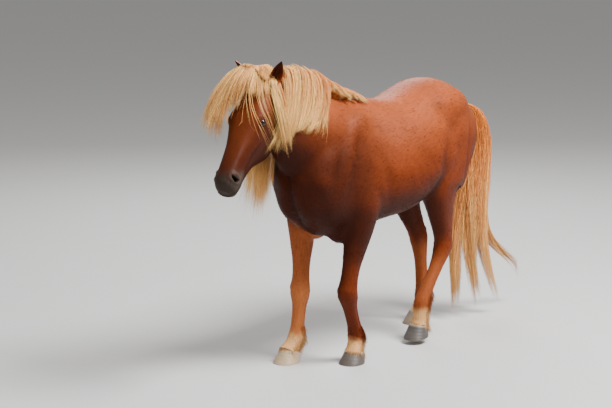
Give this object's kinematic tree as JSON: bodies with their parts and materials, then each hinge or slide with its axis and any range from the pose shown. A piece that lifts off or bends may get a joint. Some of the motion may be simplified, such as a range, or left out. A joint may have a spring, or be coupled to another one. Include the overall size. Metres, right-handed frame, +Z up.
{
  "type": "icelandic horse",
  "caption": "Life-size standing model of an icelandic horse in a slow walk, chestnut with a pale mane, forelock and tail, resting on its hooves.",
  "frame": {"origin": "middle of the model's box, on the floor under the hooves", "axes": "+Z up, the horse faces -X and its left side is toward -Y"},
  "size_m": [2.6234, 0.5777, 1.6262],
  "materials": {
    "coat": "short chestnut coat",
    "hair": "long pale hair",
    "horn": "dark hoof horn",
    "cornea": "wet dark eye"
  },
  "bodies": {
    "root": {"torso": "coat", "neck": "coat", "head": "coat", "ear_left": "coat", "ear_right": "coat", "foreleg_left": "coat", "foreleg_right": "coat", "hindleg_left": "coat", "hindleg_right": "coat", "eye_left": "cornea", "eye_right": "cornea", "hoof_fore_left": "horn", "hoof_fore_right": "horn", "hoof_hind_left": "horn", "hoof_hind_right": "horn", "mane": "hair", "forelock": "hair", "tail": "hair"}
  },
  "joints": []
}
